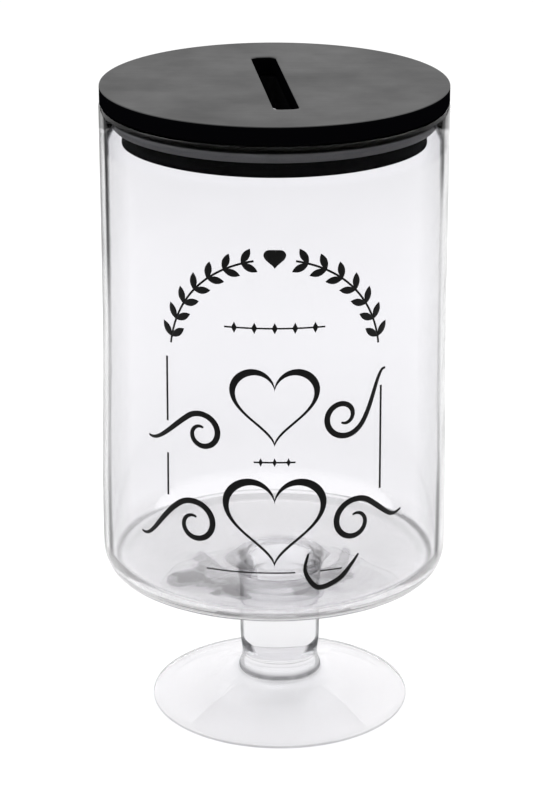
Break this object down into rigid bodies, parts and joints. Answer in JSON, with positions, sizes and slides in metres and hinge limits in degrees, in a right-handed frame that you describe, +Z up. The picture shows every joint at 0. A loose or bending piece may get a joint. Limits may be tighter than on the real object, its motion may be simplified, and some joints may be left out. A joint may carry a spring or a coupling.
{
  "type": "coin bank jar",
  "caption": "Clear pedestal glass jar used as a savings bank, with a black wooden lid that has a long slot, a plug and a sealing ring, and black ornament printed on the front.",
  "frame": {"origin": "centre of the foot's underside, on the surface the jar stands on", "axes": "+Z up along the jar's axis, -Y is the printed front, +X to the right of someone facing the front"},
  "size_m": [0.1494, 0.1501, 0.28],
  "materials": {
    "glass": "clear, polished, slightly uneven hand-worked",
    "painted_wood": "black paint, satin, over turned fibreboard or wood",
    "silicone": "dark grey, matt",
    "ink": "black transfer print, thin film"
  },
  "bodies": {
    "jar": {"glass_bowl": "glass", "glass_stem": "glass", "glass_foot": "glass", "print_garland_left": "ink", "print_garland_right": "ink", "print_garland_heart": "ink", "print_row": "ink", "print_heart_upper": "ink", "print_scroll_upper_left": "ink", "print_scroll_upper_right": "ink", "print_divider": "ink", "print_heart_lower": "ink", "print_scroll_lower_left": "ink", "print_scroll_lower_right": "ink", "print_swash_base": "ink", "print_rule_left_upper": "ink", "print_rule_left_lower": "ink", "print_rule_right": "ink", "print_base_left": "ink", "print_base_right": "ink"},
    "seal": {"seal_ring": "silicone"},
    "lid": {"lid_top": "painted_wood", "lid_plug": "painted_wood"}
  },
  "joints": [
    {"name": "lid_lift", "type": "slide", "parent": "jar", "child": "seal", "axis": [0, 0, 1], "range_m": [0, 0.06]},
    {"name": "lid_turn", "type": "hinge", "parent": "seal", "child": "lid", "pos_m": [0, 0, 0.272], "axis": [0, 0, 1], "continuous": true}
  ]
}
